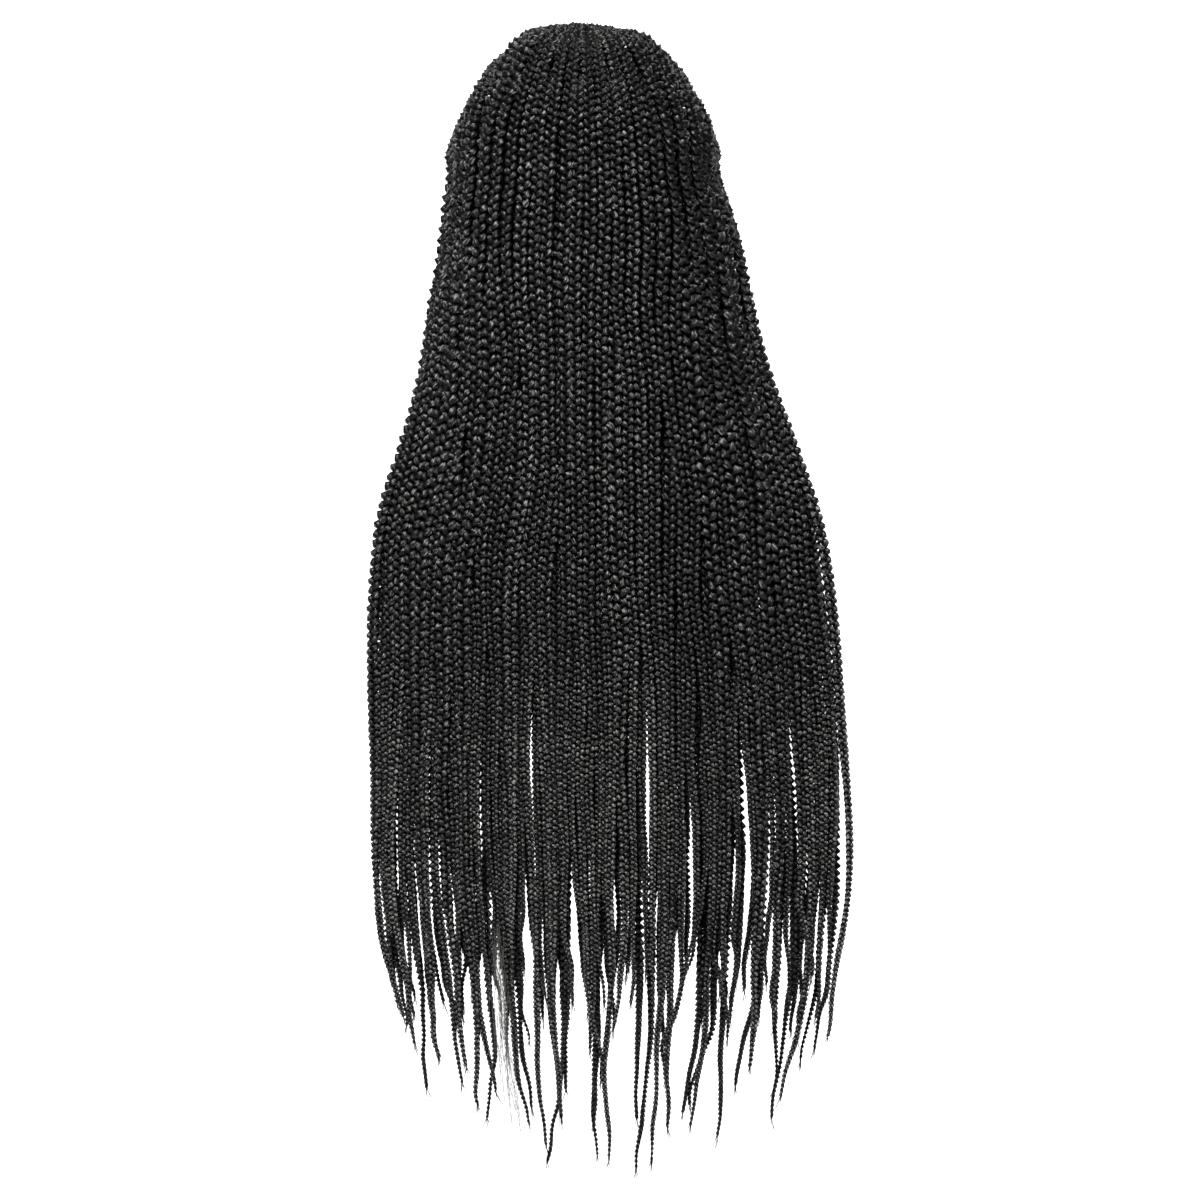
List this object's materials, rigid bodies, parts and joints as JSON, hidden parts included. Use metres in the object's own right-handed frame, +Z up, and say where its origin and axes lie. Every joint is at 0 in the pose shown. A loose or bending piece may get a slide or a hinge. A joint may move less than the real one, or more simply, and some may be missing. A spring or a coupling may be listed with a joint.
{
  "type": "braid wig",
  "caption": "Wig of long thin box braids: a head-shaped cap carries rows of braids that run back over it and hang to waist length in a full, tapering fall.",
  "frame": {"origin": "inside of the cap's crown, where the head bears on it", "axes": "+X to the wearer's left, -Y toward the face, +Y toward the back, +Z up"},
  "size_m": [0.381, 0.2139, 0.907],
  "materials": {
    "cap": "matte",
    "front_braids_01": "satin",
    "front_braids_02": "satin",
    "front_braids_03": "satin",
    "front_braids_04": "satin",
    "front_braids_05": "satin",
    "front_braids_06": "satin",
    "front_braids_07": "satin",
    "front_braids_08": "satin",
    "front_braids_09": "satin",
    "front_braids_10": "satin",
    "front_braids_11": "satin",
    "front_braids_12": "satin",
    "crown_braids_01": "satin",
    "crown_braids_02": "satin",
    "crown_braids_03": "satin",
    "crown_braids_04": "satin",
    "crown_braids_05": "satin",
    "crown_braids_06": "satin",
    "crown_braids_07": "satin",
    "crown_braids_08": "satin",
    "back_braids_01": "satin",
    "back_braids_02": "satin",
    "back_braids_03": "satin",
    "back_braids_04": "satin",
    "back_braids_05": "satin",
    "back_braids_06": "satin",
    "back_braids_07": "satin",
    "nape_braids_01": "satin",
    "nape_braids_02": "satin",
    "nape_braids_03": "satin",
    "nape_braids_04": "satin",
    "nape_braids_05": "satin",
    "nape_braids_06": "satin",
    "nape_braids_07": "satin",
    "nape_braids_08": "satin",
    "nape_braids_09": "satin"
  },
  "bodies": {
    "root": {"cap": "cap", "front_braids_01": "front_braids_01", "front_braids_02": "front_braids_02", "front_braids_03": "front_braids_03", "front_braids_04": "front_braids_04", "front_braids_05": "front_braids_05", "front_braids_06": "front_braids_06", "front_braids_07": "front_braids_07", "front_braids_08": "front_braids_08", "front_braids_09": "front_braids_09", "front_braids_10": "front_braids_10", "front_braids_11": "front_braids_11", "front_braids_12": "front_braids_12", "crown_braids_01": "crown_braids_01", "crown_braids_02": "crown_braids_02", "crown_braids_03": "crown_braids_03", "crown_braids_04": "crown_braids_04", "crown_braids_05": "crown_braids_05", "crown_braids_06": "crown_braids_06", "crown_braids_07": "crown_braids_07", "crown_braids_08": "crown_braids_08", "back_braids_01": "back_braids_01", "back_braids_02": "back_braids_02", "back_braids_03": "back_braids_03", "back_braids_04": "back_braids_04", "back_braids_05": "back_braids_05", "back_braids_06": "back_braids_06", "back_braids_07": "back_braids_07", "nape_braids_01": "nape_braids_01", "nape_braids_02": "nape_braids_02", "nape_braids_03": "nape_braids_03", "nape_braids_04": "nape_braids_04", "nape_braids_05": "nape_braids_05", "nape_braids_06": "nape_braids_06", "nape_braids_07": "nape_braids_07", "nape_braids_08": "nape_braids_08", "nape_braids_09": "nape_braids_09"}
  },
  "joints": []
}
